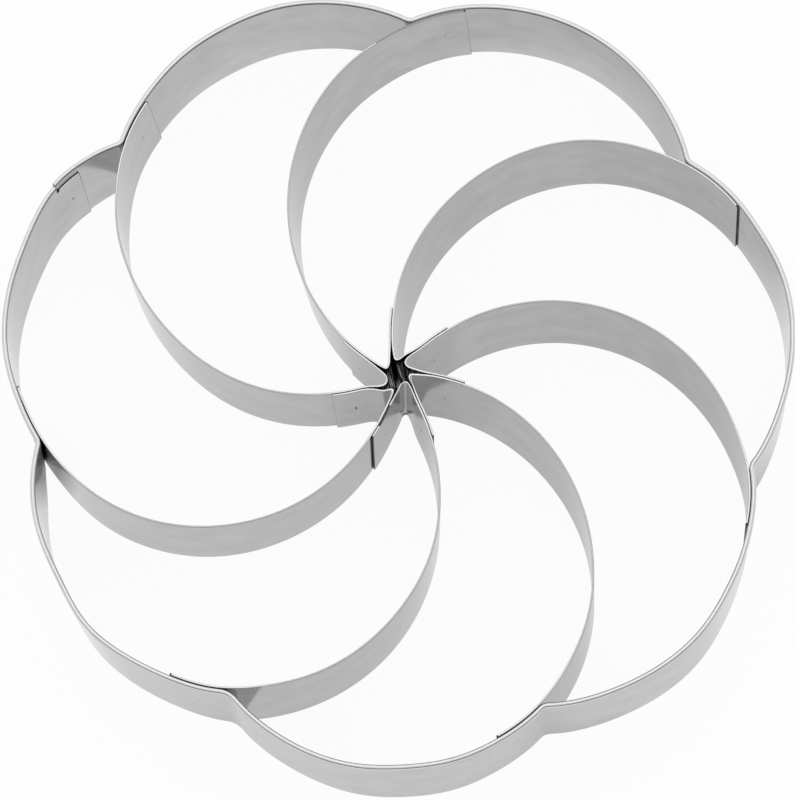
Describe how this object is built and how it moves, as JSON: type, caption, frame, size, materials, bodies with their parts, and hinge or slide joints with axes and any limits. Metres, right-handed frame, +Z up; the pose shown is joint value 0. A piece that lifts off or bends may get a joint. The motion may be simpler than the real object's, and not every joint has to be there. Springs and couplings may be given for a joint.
{
  "type": "cookie cutter",
  "caption": "Round crescent cookie cutter: curved sheet blades folded back at a star-shaped hub and lapped inside a lobed, hemmed rim, so one press cuts a full ring of crescents.",
  "frame": {"origin": "on the cutter's axis, level with the cutting edges", "axes": "+Z up from the cutting edges to the hem, +X through the middle of the lobe that holds the rim's seam"},
  "size_m": [0.1195, 0.1212, 0.028],
  "materials": {
    "tinplate": "bright tinned sheet with a soft satin sheen",
    "weld": "dull fused spot"
  },
  "bodies": {
    "root": {"rim_band": "tinplate", "blade_1": "tinplate", "blade_2": "tinplate", "blade_3": "tinplate", "blade_4": "tinplate", "blade_5": "tinplate", "blade_6": "tinplate", "blade_7": "tinplate", "rim_weld_1": "weld", "rim_weld_2": "weld", "rim_weld_3": "weld", "rim_weld_4": "weld", "rim_weld_5": "weld", "rim_weld_6": "weld", "rim_weld_7": "weld", "hub_weld_1": "weld", "hub_weld_2": "weld", "hub_weld_3": "weld", "hub_weld_4": "weld", "hub_weld_5": "weld", "hub_weld_6": "weld", "hub_weld_7": "weld", "seam_weld": "weld"}
  },
  "joints": []
}
